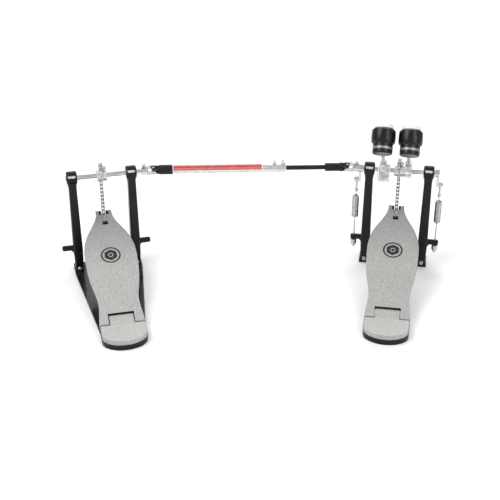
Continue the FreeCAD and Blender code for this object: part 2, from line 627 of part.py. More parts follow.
def beater_head(at):
    """Two-faced head: a wide barrel towards the drum and a narrower hard end behind."""
    centre = V(at, ROD_OFFSET, SHAFT_HEIGHT + BEATER_RADIUS)
    front = HEAD_LENGTH - HEAD_BACK
    band_end = BAND_AT + BAND_WIDTH
    neck = band_end + NECK_WIDTH
    rim = HEAD_R - 0.6
    start = [(band_end, 0), (band_end, HEAD_REAR_R), (neck, HEAD_REAR_R), (neck + 3.5, rim)]
    end = [(front - 3.5, rim), (front, HEAD_FRONT_R), (front, 0)]
    barrel = turned_profile(start, ((neck + front) / 2, HEAD_R), end)
    barrel.translate(centre)
    band = rod(centre + Y * BAND_AT, centre + Y * band_end, HEAD_REAR_R + 0.3)
    rear = rod(centre - Y * HEAD_BACK, centre + Y * BAND_AT, HEAD_REAR_R)
    back = [edge for edge in rear.Edges if edge.Closed and edge.CenterOfMass.y < centre.y - HEAD_BACK + 1]
    solid = fuse(barrel, band, rear.makeFillet(2.0, back))
    tip = BEATER_RADIUS + HEAD_R * 0.5
    bore = rod(V(at, ROD_OFFSET, SHAFT_HEIGHT + BEATER_RADIUS - HEAD_R - 5),
               V(at, ROD_OFFSET, SHAFT_HEIGHT + tip + 0.5), ROD_R + RUNNING)
    return lean(solid.cut(bore))


def beater_felt(at):
    face = V(at, ROD_OFFSET + HEAD_LENGTH - HEAD_BACK, SHAFT_HEIGHT + BEATER_RADIUS)
    disc = rod(face, face + Y * FELT_THICKNESS, FELT_R)
    middle = face.y + FELT_THICKNESS / 2
    front = [edge for edge in disc.Edges if edge.Closed and edge.CenterOfMass.y > middle]
    return lean(disc.makeFillet(FELT_ROUND, front))


# ---- springs ----
def lever_point():
    """Centre of the lever's pin at rest, as (y, z)."""
    angle = radians(LEVER_REST)
    return -LEVER_R * sin(angle), SHAFT_HEIGHT - LEVER_R * cos(angle)


def spring_lever(side):
    inner = HALF_SPAN + HOUSING_WIDTH / 2 + GAP
    arm_out, pin_end = LEVER_FACE, SPRING_AT + SWIVEL_R / 2 + LEVER_SIDE
    y, z = lever_point()
    hub = along_x(inner, arm_out, 0, SHAFT_HEIGHT, 8.5)
    arm = box(arm_out - 4.5, arm_out, -5.0, 5.0, -LEVER_R, 0)
    arm.rotate(V(0, 0, 0), X, -LEVER_REST)
    arm.translate(AXIS)
    pad = along_x(arm_out - 4.5, arm_out, y, z, 5.0)
    pin = fuse(along_x(arm_out - 1, pin_end, y, z, LEVER_PIN_R), along_x(pin_end, pin_end + 1.6, y, z, 4.0))
    solid = fuse(hub, arm, pad, pin).cut(along_x(inner - 1, arm_out + 1, 0, SHAFT_HEIGHT, SHAFT_R))
    return solid if side > 0 else mirrored(solid)


def spring_swivel(side):
    """Ring on the lever's pin, with a stem that the spring hooks into."""
    y, z = lever_point()
    ring = along_x(SPRING_AT - SWIVEL_R / 2, SPRING_AT + SWIVEL_R / 2, y, z, SWIVEL_R)
    stem = rod(V(SPRING_AT, y, z - 4), V(SPRING_AT, y, z - 22), 2.2)
    foot = rod(V(SPRING_AT, y, z - 22), V(SPRING_AT, y, z - 26), 3.6)
    solid = fuse(ring, stem, foot)
    solid = solid.cut(along_x(SPRING_AT - SWIVEL_R, SPRING_AT + SWIVEL_R, y, z, LEVER_PIN_R + RUNNING))
    return solid if side > 0 else mirrored(solid)


def spring(side):
    """Extension spring: a close coil with a straight tail to the swivel and one to the eye."""
    y = lever_point()[1] - 26.5
    coil_r = SPRING_OUTER_R - SPRING_WIRE_R
    height = SPRING_TOP - SPRING_BOTTOM
    helix = Part.makeHelix(height / SPRING_TURNS, height, coil_r)
    section = Part.Wire(Part.makeCircle(SPRING_WIRE_R, V(coil_r, 0, 0), Y))
    coil = Part.Wire(helix).makePipeShell([section], True, True)
    coil.translate(V(SPRING_AT, 0, SPRING_BOTTOM))
    top = rod(V(SPRING_AT, 0, SPRING_TOP), V(SPRING_AT, lever_point()[0], y), SPRING_WIRE_R * 1.2)
    tail = rod(V(SPRING_AT, 0, SPRING_BOTTOM), V(SPRING_AT, 0, EYE_HEIGHT + 4.3), SPRING_WIRE_R * 1.2)
    arms = [rod(V(SPRING_AT - 0.5, 0, level), V(SPRING_AT + coil_r, 0, level), SPRING_WIRE_R)
            for level in (SPRING_BOTTOM, SPRING_TOP)]
    solid = fuse(coil, top, tail, *arms)
    return solid if side > 0 else mirrored(solid)


def tension_bolt(side):
    """Eye bolt through the post's lug, and its two nuts."""
    centre = side * SPRING_AT
    eye = Part.makeTorus(3.0, 1.3, V(centre, 0, EYE_HEIGHT), X)
    stem = rod(V(centre, 0, EYE_HEIGHT - 3.5), V(centre, 0, LUG_HEIGHT - LUG_R - 17.0), BOLT_R)
    bolt = fuse(eye, stem)
    hexes = []
    for low, high, radius in ((LUG_HEIGHT - LUG_R - 9.0, LUG_HEIGHT - LUG_R, 6.0),
                              (LUG_HEIGHT - LUG_R - 13.0, LUG_HEIGHT - LUG_R - 9.5, 4.2)):
        nut = rod(V(centre, 0, low), V(centre, 0, high), radius)
        hexes.append(nut.cut(rod(V(centre, 0, low - 1), V(centre, 0, high + 1), BOLT_R + RUNNING)))
    return [bolt] + hexes


# ---- universal joints and drive shaft ----
def fork(direction, pin_axis, hub_r, hub_length, bore_r=0.0, bore_length=0.0):
    """A fork about the origin: its hub lies along direction, its ears along pin_axis."""
    side_axis = direction.cross(pin_axis)
    spin = FreeCAD.Placement(V(0, 0, 0), FreeCAD.Rotation(direction, side_axis, pin_axis, "XZY"))
    hub = along_x(FORK_REACH, FORK_REACH + hub_length, 0, 0, hub_r)
    ears = []
    for side in (-1, 1):
        z0, z1 = sorted((side * FORK_INNER, side * FORK_OUTER))
        ear = fuse(box(0, FORK_REACH + 2, -FORK_WIDTH / 2, FORK_WIDTH / 2, z0, z1),
                   rod(V(0, 0, z0), V(0, 0, z1), FORK_WIDTH / 2))
        ears.append(ear.common(along_x(-hub_r * 2, FORK_REACH * 3, 0, 0, FORK_OUTER + 0.6)))
    neck = along_x(FORK_REACH - 0.01, FORK_REACH + 2, 0, 0, max(hub_r, FORK_OUTER + 0.6))
    solid = fuse(hub, neck, *ears)
    solid = solid.cut(rod(V(0, 0, -2 * FORK_OUTER), V(0, 0, 2 * FORK_OUTER), CROSS_PIN_R + LOOSE))
    if bore_r:
        start = FORK_REACH + hub_length - bore_length
        solid = solid.cut(along_x(start, FORK_REACH + hub_length + 1, 0, 0, bore_r))
    return placed(solid, spin)


def cross(pin_a, pin_b):
    """The spider: a block with four pins along the two given directions."""
    reach = FORK_OUTER - 0.2
    third = pin_a.cross(pin_b)
    spin = FreeCAD.Placement(V(0, 0, 0), FreeCAD.Rotation(pin_a, pin_b, third, "XYZ"))
    block = box(-4.6, 4.6, -4.6, 4.6, -4.2, 4.2)
    solid = fuse(block, along_x(-reach, reach, 0, 0, CROSS_PIN_R),
                 rod(V(0, -reach, 0), V(0, reach, 0), CROSS_PIN_R))
    return placed(solid, spin)


def yoke_screw(x, turn):
    """Square-headed clamp screw on a yoke's hub, along the pedal's shaft."""
    shank = rod(V(x, 0, SHAFT_R + 0.1), V(x, 0, 11.0), SCREW_R)
    head = fuse(rod(V(x, 0, 9.6), V(x, 0, 11.5), 4.0), box(x - 2.8, x + 2.8, -2.8, 2.8, 11.0, 17.0))
    screw = turned(fuse(shank, head), V(0, 0, 0), X, turn)
    screw.translate(AXIS)
    return screw


def unit(vector):
    return vector * (1.0 / vector.Length)


def fork_pins(shaft_direction):
    """Rest directions of the two pin axes where a pedal shaft meets the drive shaft."""
    level = Z.cross(shaft_direction)
    own = FreeCAD.Rotation(shaft_direction, BEATER_SWEEP / 2).multVec(level)
    return own, unit(own.cross(DRIVE_DIRECTION))


def along_drive(x0, x1, radius):
    """A cylinder on the drive axis, measured from the main joint towards the slave."""
    return rod(MAIN_JOINT - DRIVE_DIRECTION * x0, MAIN_JOINT - DRIVE_DIRECTION * x1, radius)


def yoke(joint, shaft_direction, outward, hub_length):
    """The fork clamped on a pedal shaft's end."""
    own, _ = fork_pins(shaft_direction)
    shape = fork(shaft_direction * outward, own, 8.0, hub_length, SHAFT_R, hub_length - 1.0)
    shape.translate(joint)
    return shape


def yoke_hub_cut(at):
    """Thread of the yoke's clamp screw, in a pedal's own frame."""
    hole = turned(rod(V(at, 0, 0), V(at, 0, 20.0), SCREW_R), V(0, 0, 0), X, YOKE_SCREW_TURN)
    hole.translate(AXIS)
    return hole


# ---- main pedal only ----
def clamp_base():
    """Front plate on the floor: post bosses, rod sockets, hoop seat and jaw ears."""
    half = HALF_SPAN + POST_FOOT[0] / 2 + 2.0
    plate = box(-half, half, -POST_FOOT[1] / 2, POST_FOOT[1] / 2 + 2.0, 0, CLAMP_PLATE_THICKNESS)
    seat = box(-16.0, 16.0, 0, HOOP_REACH, 0, SEAT_HEIGHT)
    y, z = JAW_PIVOT
    ears = []
    for side in (-1, 1):
        x0, x1 = sorted((side * (JAW_WIDTH / 2 + 0.5), side * (JAW_WIDTH / 2 + 5.5)))
        ears.append(fuse(prism([(y - 9, 1.0), (y - 7, z), (y + 7, z), (y + 9, 1.0)], x0, x1),
                         along_x(x0, x1, y, z, 7.0)))
    teeth = [box(-14.0, 14.0, level, level + 2.0, SEAT_HEIGHT - 1, SEAT_HEIGHT + 0.8)
             for level in (45.0, 51.0, 57.0)]
    solid = fuse(plate, seat, *ears, *teeth, base_boss(-1), base_boss(1))
    solid = solid.cut(fuse(tenon_pocket(-1), tenon_pocket(1)))
    solid = solid.cut(along_x(-20, 20, y, z, JAW_PIVOT_R + RUNNING))
    for side in (-1, 1):
        solid = solid.cut(radius_rod(side))
    return solid


def radius_rod(side):
    """Steel wire from the front plate to the heel."""
    front = V(side * 36.0, -2.0, ROD_WIRE_HEIGHT)
    back = V(side * 15.0, HEEL_FRONT - 12.0, ROD_WIRE_HEIGHT)
    return rod(front, back, ROD_WIRE_R)


def heel_base():
    """Black sole under the heel plate, with the rods' sockets."""
    solid = heel_outline(0).extrude(V(0, 0, HEEL_BASE_HEIGHT))
    for side in (-1, 1):
        solid = solid.cut(radius_rod(side))
    return solid.cut(fuse(*heel_screws()))


def hoop_jaw():
    """Lever that presses the drum hoop on the seat, on its own trunnions."""
    y, z = JAW_PIVOT
    half = JAW_WIDTH / 2
    body = prism([(WING_AT - 8, z - 3.5), (WING_AT - 8, z + 4), (y, z + 7.5), (HOOP_REACH - 12, z + 9.5),
                  (HOOP_REACH - 1, z + 7), (HOOP_REACH, MOUTH_TOP), (y + 13, MOUTH_TOP), (y + 7, z - 4),
                  (y - 4, z - 5.5)], -half, half)
    teeth = [box(-half, half, level, level + 2.0, MOUTH_TOP - 0.8, MOUTH_TOP + 1) for level in (48.0, 54.0)]
    trunnions = along_x(-half - 5.5, half + 5.5, y, z, JAW_PIVOT_R)
    solid = fuse(body, trunnions, *teeth)
    return solid.cut(rod(V(0, WING_AT, 0), V(0, WING_AT, 60), WING_R + RUNNING))


def wing_bolt():
    """Thumb bolt through the jaw's tail; its tip stands on the front plate."""
    low = CLAMP_PLATE_THICKNESS + 0.3
    stem = fuse(rod(V(0, WING_AT, low + 3), V(0, WING_AT, 36.0), WING_R),
                Part.makeCone(1.0, WING_R, 3.0, V(0, WING_AT, low), Z))
    hub = rod(V(0, WING_AT, 34.0), V(0, WING_AT, 42.0), 5.0)
    wing = box(-13.0, 13.0, WING_AT - 1.6, WING_AT + 1.6, 36.0, 46.0)
    wing = wing.makeFillet(1.4, wing.Edges)
    return fuse(stem, hub, wing)


# ---- slave pedal only ----
def slave_base():
    """Floor plate from the posts to the heel, in the slave pedal's frame."""
    half = HALF_SPAN + POST_FOOT[0] / 2 + 2.0
    front = POST_FOOT[1] / 2 + 2.0
    heel_half = HINGE_WIDTH / 2
    corners = [V(-half, front, 0), V(half, front, 0), V(half, -front - 4, 0), V(heel_half, HEEL_FRONT, 0),
               V(-heel_half, HEEL_FRONT, 0), V(-half, -front - 4, 0)]
    plate = Part.Face(Part.makePolygon(corners + corners[:1])).extrude(V(0, 0, BASE_THICKNESS))
    heel = heel_outline(0).extrude(V(0, 0, HEEL_BASE_HEIGHT))
    solid = fuse(plate, heel, base_boss(-1), base_boss(1))
    ear_room = along_x(-HINGE_WIDTH, HINGE_WIDTH, -HINGE_BACK, HINGE_HEIGHT, EAR_R + GAP)
    solid = solid.cut(fuse(tenon_pocket(-1), tenon_pocket(1), ear_room))
    return solid.cut(fuse(*heel_screws()))


# ---- assembly ----
def pedal_nodes(prefix, hub):
    """Pieces that both pedals share, in the pedal's own frame."""
    return {
        prefix + "_left_post": post(-1),
        prefix + "_right_post": post(1),
        prefix + "_bearings": group(bearing(-1), bearing(1)),
        prefix + "_heel_plate": heel_plate(),
        prefix + "_heel_pin": heel_pin(),
        prefix + "_footboard": footboard(),
        prefix + "_toe_clevis": toe_clevis(),
        prefix + "_toe_screw": toe_screw(),
        prefix + "_chain_hanging": hanging_chain(),
        prefix + "_chain_bending": bending_chain(),
        prefix + "_chain_wrapped": wrapped_chain(),
        prefix + "_frame_screws": group(post_screw(-1), post_screw(1), *heel_screws()),
        prefix + "_sprocket_hub": hub,
    }


def main_nodes():
    hub_right = MAIN_BEATER_AT + ROD_CLAMP[0] / 2
    hub = fuse(sprocket_hub(HUB_LEFT, hub_right), rod_clamp(MAIN_BEATER_AT))
    hub = hub.cut(fuse(along_x(-HALF_SPAN, HALF_SPAN, 0, SHAFT_HEIGHT, SHAFT_R), rod_bore(MAIN_BEATER_AT)))
    nodes = pedal_nodes("main", hub)
    journal_end = AUX_BEATER_AT + AUX_BODY[1]
    spigot_end = journal_end - 34.0
    sleeve_end = -(JOINT_AT - FORK_REACH - 1.0)
    shaft_bore = along_x(-HALF_SPAN, 0, 0, SHAFT_HEIGHT, SHAFT_R)
    aux_bores = fuse(shaft_bore, rod_bore(AUX_BEATER_AT))
    nodes.update({
        "main_clamp_base": clamp_base(),
        "main_radius_rods": group(radius_rod(-1), radius_rod(1)),
        "main_heel_base": heel_base(),
        "hoop_jaw": hoop_jaw(),
        "hoop_wing_bolt": wing_bolt(),
        "spring_tension_bolts": group(*tension_bolt(-1), *tension_bolt(1)),
        "main_shaft": fuse(along_x(journal_end + 0.5, LEVER_FACE, 0, SHAFT_HEIGHT, SHAFT_R),
                           along_x(spigot_end + 1.0, journal_end + 1, 0, SHAFT_HEIGHT, SHAFT_R * 0.6)),
        "main_hub_screws": group(block_screw(MAIN_BEATER_AT), chain_screw()),
        "main_beater_rod": beater_rod(MAIN_BEATER_AT),
        "main_beater_head": beater_head(MAIN_BEATER_AT),
        "main_beater_felt": beater_felt(MAIN_BEATER_AT),
        "main_spring_lever": spring_lever(1),
        "main_spring_swivel": spring_swivel(1),
        "main_spring": spring(1),
        "aux_sleeve": along_x(sleeve_end, journal_end, 0, SHAFT_HEIGHT, SHAFT_R).cut(
            along_x(spigot_end, journal_end + 1, 0, SHAFT_HEIGHT, SHAFT_R * 0.6 + RUNNING)),
        "aux_beater_hub": fuse(aux_body(AUX_BEATER_AT), rod_clamp(AUX_BEATER_AT)).cut(aux_bores),
        "aux_hub_screws": group(block_screw(AUX_BEATER_AT), yoke_screw(-YOKE_SCREW_AT, YOKE_SCREW_TURN)),
        "aux_beater_rod": beater_rod(AUX_BEATER_AT),
        "aux_beater_head": beater_head(AUX_BEATER_AT),
        "aux_beater_felt": beater_felt(AUX_BEATER_AT),
        "aux_spring_lever": spring_lever(-1),
        "aux_spring_swivel": spring_swivel(-1),
        "aux_spring": spring(-1),
        "aux_yoke": yoke(MAIN_JOINT, X, 1, YOKE_HUB).cut(yoke_hub_cut(-YOKE_SCREW_AT)),
    })
    return nodes


def slave_nodes():
    nodes = pedal_nodes("slave", sprocket_hub(HUB_LEFT, -HUB_LEFT))
    shaft_end = JOINT_AT - FORK_REACH - 1.0
    nodes.update({
        "slave_base_plate": slave_base(),
        "slave_shaft": along_x(-HALF_SPAN - HOUSING_WIDTH / 2 - 2.0, shaft_end, 0, SHAFT_HEIGHT, SHAFT_R),
        "slave_hub_screws": group(chain_screw(), yoke_screw(YOKE_SCREW_AT, YOKE_SCREW_TURN)),
    })
    nodes = {name: placed(shape, SLAVE) for name, shape in nodes.items()}
    direction = SLAVE_ROTATION.multVec(X)
    cut = placed(yoke_hub_cut(YOKE_SCREW_AT), SLAVE)
    nodes["slave_yoke"] = yoke(SLAVE_JOINT, direction, -1, YOKE_HUB).cut(cut)
    return nodes


def drive_nodes():
    slave_direction = SLAVE_ROTATION.multVec(X)
    main_own, main_drive = fork_pins(X)
    slave_own, slave_drive = fork_pins(slave_direction)
    rod_fork = fork(DRIVE_DIRECTION * -1, main_drive, 8.0, ROD_SLEEVE - FORK_REACH)
    rod_fork.translate(MAIN_JOINT)
    hub_length = DRIVE_LENGTH - FORK_REACH - TUBE_SLEEVE[0]
    tube_fork = fork(DRIVE_DIRECTION, slave_drive, TUBE_R + 1.5, hub_length)
    tube_fork.translate(SLAVE_JOINT)
    tube_fork = tube_fork.cut(along_drive(TUBE_SLEEVE[0] - 1, TUBE_END, TUBE_R))
    tube = along_drive(TUBE_MOUTH, TUBE_END, TUBE_R).cut(
        along_drive(TUBE_MOUTH - 1, TUBE_END - 4.0, DRIVE_ROD_R + RUNNING))
    screws = []
    for distance in CLAMP_SCREWS_AT:
        foot = MAIN_JOINT - DRIVE_DIRECTION * distance
        tube = tube.cut(rod(foot, foot + Z * 2 * TUBE_R, SCREW_R))
        shank = rod(foot + Z * (DRIVE_ROD_R + 0.1), foot + Z * (TUBE_R + 1), SCREW_R)
        cap = rod(foot + Z * TUBE_R, foot + Z * (TUBE_R + 2), 3.8)
        square = box(-2.4, 2.4, -2.4, 2.4, TUBE_R + 1.5, TUBE_R + 7.0)
        square.rotate(V(0, 0, 0), Z, DRIVE_ANGLE)
        square.translate(foot)
        screws.append(fuse(shank, cap, square))
    crosses = {}
    for name, centre, pins in (("main_cross", MAIN_JOINT, (main_own, main_drive)),
                               ("slave_cross", SLAVE_JOINT, (slave_own, slave_drive))):
        crosses[name] = cross(*pins)
        crosses[name].translate(centre)
    return {
        "drive_rod": fuse(rod_fork, along_drive(ROD_SLEEVE - 1, ROD_LENGTH, DRIVE_ROD_R)),
        "drive_tube": tube,
        "drive_tube_yoke": tube_fork,
        "drive_clamp_screws": group(*screws),
        **crosses,
    }


def main():
    os.makedirs("parts", exist_ok=True)
    nodes = {**main_nodes(), **slave_nodes(), **drive_nodes()}
    for name, shape in nodes.items():
        shape.exportStep(os.path.join("parts", name + ".step"))
        print(name, len(shape.Solids), "solids", round(shape.Volume / 1000, 2), "cm3", shape.isValid())
    print(len(nodes), "nodes")


main()
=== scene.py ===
"""Looks of a double bass drum pedal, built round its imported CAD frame: metres, row frame."""
import json
from math import cos, pi, radians, sin

import bmesh
import bpy
from mathutils import Matrix, Vector


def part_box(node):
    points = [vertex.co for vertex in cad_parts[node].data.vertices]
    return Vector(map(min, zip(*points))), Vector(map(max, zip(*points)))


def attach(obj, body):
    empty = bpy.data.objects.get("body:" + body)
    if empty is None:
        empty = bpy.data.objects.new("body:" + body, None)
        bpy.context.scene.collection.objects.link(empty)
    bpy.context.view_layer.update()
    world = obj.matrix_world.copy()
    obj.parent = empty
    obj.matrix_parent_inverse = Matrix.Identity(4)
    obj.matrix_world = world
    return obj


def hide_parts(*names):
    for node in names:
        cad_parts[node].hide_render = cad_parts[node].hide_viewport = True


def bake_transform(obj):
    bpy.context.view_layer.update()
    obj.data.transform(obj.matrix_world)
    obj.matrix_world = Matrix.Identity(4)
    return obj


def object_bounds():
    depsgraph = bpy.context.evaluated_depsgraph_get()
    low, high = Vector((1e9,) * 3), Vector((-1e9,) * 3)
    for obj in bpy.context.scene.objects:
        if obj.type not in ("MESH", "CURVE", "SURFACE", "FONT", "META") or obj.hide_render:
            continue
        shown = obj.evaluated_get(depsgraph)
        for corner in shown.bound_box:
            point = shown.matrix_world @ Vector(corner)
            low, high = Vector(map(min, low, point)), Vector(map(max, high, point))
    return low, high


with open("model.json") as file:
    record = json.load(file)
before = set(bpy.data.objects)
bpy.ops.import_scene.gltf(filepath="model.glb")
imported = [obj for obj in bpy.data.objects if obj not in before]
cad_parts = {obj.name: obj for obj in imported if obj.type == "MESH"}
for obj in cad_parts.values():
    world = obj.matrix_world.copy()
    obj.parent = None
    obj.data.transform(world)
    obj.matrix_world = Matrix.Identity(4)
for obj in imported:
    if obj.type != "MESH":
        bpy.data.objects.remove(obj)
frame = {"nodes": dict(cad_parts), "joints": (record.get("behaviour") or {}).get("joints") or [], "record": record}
CAD_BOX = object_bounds()
NODES = frame["nodes"]
MM = 0.001


# ---- joints and places taken from the frame ----
def joint(name):
    return next(row for row in frame["joints"] if row["name"] == name)


def joint_place(name):
    return Vector(joint(name)["pos_m"])


HEAD = joint_place("main_beater_turn")
MAIN_JOINT = joint_place("main_cross_tilt")
SLAVE_JOINT = joint_place("slave_cross_tilt")
DRIVE = (SLAVE_JOINT - MAIN_JOINT).normalized()
SLAVE_X = -Vector(joint("slave_cam_turn")["axis"])
SLAVE_YAW = Vector((1, 0)).angle_signed(SLAVE_X.xy) * -1
ROD = Vector(joint("main_beater_height")["axis"])
STRIKE = ROD.cross(Vector((1, 0, 0)))       # from a beater's rod towards the drum
BOARD_SLOPE = radians(20.5)
BAND = (-13.5 * MM, -8.0 * MM)              # light band of a beater head, from its rod
BAND_SOFT = 0.2 * MM

# In a footboard's own frame. A pair is where a mask starts to change, and where it has changed.
MEDALLION = (0.0, 156 * MM, 8.5 * MM)
SUNK_RIM = (21.5 * MM, 21.0 * MM)           # rim of the sunk ring round the medallion
SUNK_FLOOR = (8.2 * MM, 7.9 * MM)           # below the tread's surface at 8.5 mm
RING_INNER = (4.8 * MM, 5.2 * MM)
RING_OUTER = (12.2 * MM, 11.8 * MM)
HINGE_SIDES = (41.5 * MM, 41.0 * MM)        # walls of the hinge gap, painted dark as shade
HINGE_REAR = (-16 * MM, -15 * MM)
HINGE_FRONT = (26 * MM, 25 * MM)
HINGE_SHADE = 0.96
WALL_LEAN = 0.6                             # a face is a wall where its normal rises less
SCUFF_START = (20 * MM, 100 * MM)
SCUFF_END = (240 * MM, 180 * MM)
# painted shade: where the tread darkens towards the toe
TOE_PAINTED_SHADE = (120 * MM, 260 * MM)

DRIVE_TUBE_R = 8.0 * MM
LABEL_REACH = (166 * MM, 337.2 * MM)        # from the main universal joint along the tube
LABEL_ANGLES = (8, 150)                     # degrees, from the tube's front over its top
LABEL_BORDER = 1.6 * MM
LABEL_BORDER_ANGLE = 9
LABEL_FILM = 0.12 * MM
LABEL_LIFT = 0.02 * MM
LABEL_PAINTED_HIGHLIGHT = ((1.5 * MM, 3.5 * MM), (6.2 * MM, 4.8 * MM))    # heights above the tube's axis of a painted highlight band

SPRING_COIL = (95.5 * MM, 145.0 * MM)       # heights of the coil's two ends
SPRING_COIL_R = 5.7 * MM                    # to the middle of the wire
SPRING_WIRE_R = 1.1 * MM
SPRING_TURNS = 20

CAMERA_AT = (0.0171, -1.9858, 1.2030)
CAMERA_AIM = (-0.1320, 0.8475, -0.5141)     # direction it looks in
CAMERA_LENS = 81.8
FLOOR_HALF = 60.0


# ---- material nodes ----
class Surface:
    """A Principled material with short calls for its pattern nodes."""

    def __init__(self, name, **sockets):
        self.material = bpy.data.materials.new(name)
        self.material.use_nodes = True
        self.tree = self.material.node_tree
        self.shader = self.tree.nodes["Principled BSDF"]
        for socket, value in sockets.items():
            self.set(socket.replace("_", " "), value)
        self.place = self.node("TexCoord").outputs["Object"]

    def set(self, socket, value):
        self.plug(self.shader.inputs[socket], value)

    def plug(self, target, value):
        if isinstance(value, bpy.types.NodeSocket):
            self.tree.links.new(value, target)
        elif isinstance(value, tuple) and len(value) == 3 and target.type == "RGBA":
            target.default_value = (*value, 1.0)
        else:
            target.default_value = value

    def node(self, kind, *values, **settings):
        """A node of that kind; values go to its inputs in order, None leaves one as it is."""
        made = self.tree.nodes.new("ShaderNode" + kind)
        for key, value in settings.items():
            setattr(made, key, value)
        for target, value in zip(made.inputs, values):
            if value is not None:
                self.plug(target, value)
        return made

    def stretched(self, scale):
        return self.vector("MULTIPLY", self.place, scale)

    def noise(self, size, detail=3.0, rough=0.55, place=None):
        """Noise whose features are about size metres across."""
        made = self.node("TexNoise")
        self.plug(made.inputs["Vector"], place or self.place)
        made.inputs["Scale"].default_value = 1.0 / size
        made.inputs["Detail"].default_value = detail
        made.inputs["Roughness"].default_value = rough
        return made.outputs["Fac"]

    def cells(self, size, feature="F1", output="Distance", place=None):
        made = self.node("TexVoronoi", feature=feature)
        self.plug(made.inputs["Vector"], place or self.place)
        made.inputs["Scale"].default_value = 1.0 / size
        return made.outputs[output]

    def ramp(self, value, low, high, start=0.0, end=1.0):
        """value mapped from low..high to start..end, clamped."""
        made = self.node("MapRange")
        for name, given in (("Value", value), ("From Min", low), ("From Max", high),
                            ("To Min", start), ("To Max", end)):
            self.plug(made.inputs[name], given)
        return made.outputs[0]

    def math(self, operation, first, second=0.0):
        return self.node("Math", first, second, operation=operation).outputs[0]

    def times(self, first, second):
        return self.math("MULTIPLY", first, second)

    def between(self, value, rise, fall):
        """1 where value is past rise and short of fall, each a pair of limits; 0 outside."""
        return self.times(self.ramp(value, *rise), self.ramp(value, *fall))

    def vector(self, operation, first, second, output=0):
        return self.node("VectorMath", first, second, operation=operation).outputs[output]

    def mix(self, share, first, second):
        """A colour between first and second."""
        made = self.node("Mix", data_type="RGBA")
        self.plug(made.inputs[0], share)
        self.plug(made.inputs[6], first)
        self.plug(made.inputs[7], second)
        return made.outputs[2]

    def bump(self, height, depth, under=None):
        """Raises the surface by depth metres where height is 1."""
        made = self.node("Bump")
        made.inputs["Distance"].default_value = depth
        self.plug(made.inputs["Height"], height)
        if under is not None:
            self.plug(made.inputs["Normal"], under)
        return made.outputs[0]

    def edges(self, radius=0.8 * MM):
        """1 near sharp convex or concave edges, 0 on open faces; and the rounded normal."""
        rounded = self.node("Bevel", samples=4)
        rounded.inputs["Radius"].default_value = radius
        plain = self.node("NewGeometry").outputs["Normal"]
        meet = self.vector("DOT_PRODUCT", rounded.outputs[0], plain, "Value")
        return self.ramp(meet, 0.995, 0.80), rounded.outputs[0]

    def rise(self):
        """The upward part of the surface's normal."""
        normal = self.node("NewGeometry").outputs["Normal"]
        return self.node("SeparateXYZ", normal).outputs["Z"]

    def upward(self):
        """1 on faces that look straight up, where dust settles."""
        return self.ramp(self.rise(), 0.2, 1.0)


def black_cast():
    """Glossy black enamel on castings: orange peel, a little dust on top, worn edges."""
    s = Surface("black_cast", Specular_IOR_Level=0.18, Coat_Weight=0.12, Coat_Roughness=0.06)
    edge, rounded = s.edges(0.9 * MM)
    patches = s.noise(22 * MM, 4)
    chips = s.times(edge, s.ramp(s.noise(3.5 * MM, 5), 0.60, 0.68))
    dust = s.times(s.upward(), s.ramp(s.noise(9 * MM, 6, 0.7), 0.50, 0.8, 0.0, 0.14))
    enamel = s.mix(patches, (0.0028, 0.0028, 0.0031), (0.0085, 0.0085, 0.0095))
    enamel = s.mix(s.times(edge, 0.35), enamel, (0.035, 0.035, 0.038))
    enamel = s.mix(dust, enamel, (0.11, 0.105, 0.10))
    s.set("Base Color", s.mix(chips, enamel, (0.22, 0.21, 0.205)))
    s.set("Roughness", s.ramp(s.noise(6 * MM, 5), 0.3, 0.7, 0.20, 0.36))
    peel = s.bump(s.noise(1.6 * MM, 2), 0.06 * MM, rounded)
    s.set("Normal", s.bump(s.noise(0.35 * MM, 2), 0.015 * MM, peel))
    return s.material


def board_frame(s, pedal):
    """Coordinates in a footboard's own frame: the pin is the origin, Y runs up the tread."""
    pin = joint_place(pedal + "_footboard_hinge")
    yaw = SLAVE_YAW if pedal == "slave" else 0.0
    made = s.node("Mapping", s.place, vector_type="TEXTURE")
    turn = Matrix.Rotation(yaw, 3, "Z") @ Matrix.Rotation(BOARD_SLOPE, 3, "X")
    made.inputs["Location"].default_value = pin
    made.inputs["Rotation"].default_value = turn.to_euler()
    return made.outputs[0]


def hammered_paint(s, flake):
    """Metal flake under uneven lacquer, with small dark pits."""
    grain = s.noise(3.2 * MM, 4, 0.75)
    cloud = s.noise(34 * MM, 5, 0.6)
    pits = s.math("SUBTRACT", 1.0, s.ramp(s.cells(2.4 * MM), 0.10, 0.42))
    paint = s.mix(s.ramp(flake, 0.35, 0.65), (0.20, 0.20, 0.196), (0.44, 0.44, 0.43))
    paint = s.mix(s.ramp(grain, 0.40, 0.60, 0.0, 0.7), paint, (0.55, 0.545, 0.53))
    paint = s.mix(s.ramp(cloud, 0.35, 0.65, 0.0, 0.45), paint, (0.40, 0.396, 0.375))
    return s.mix(s.times(pits, 0.45), paint, (0.22, 0.22, 0.22))


def medallion_print(s, here, height):
    """1 in the sunk rim of the medallion and on its broad printed ring."""
    away = s.vector("DISTANCE", here, MEDALLION, "Value")
    sunk = s.times(s.ramp(height, *SUNK_FLOOR), s.ramp(away, *SUNK_RIM))
    worn = s.ramp(s.noise(1.4 * MM, 4), 0.28, 0.36)
    return s.math("MAXIMUM", sunk, s.times(s.between(away, RING_INNER, RING_OUTER), worn))


def hinge_gap_painted_shade(s, foot):
    """Painted shade: 1 on the upright walls of the gap between the heel plate and the footboard, which are painted
    near black for the shade inside the gap.
    """
    sides = s.ramp(s.math("ABSOLUTE", foot.outputs["X"]), *HINGE_SIDES)
    gap = s.times(sides, s.between(foot.outputs["Y"], HINGE_FRONT, HINGE_REAR))
    walls = s.math("LESS_THAN", s.rise(), WALL_LEAN)
    return s.times(walls, s.times(gap, HINGE_SHADE))


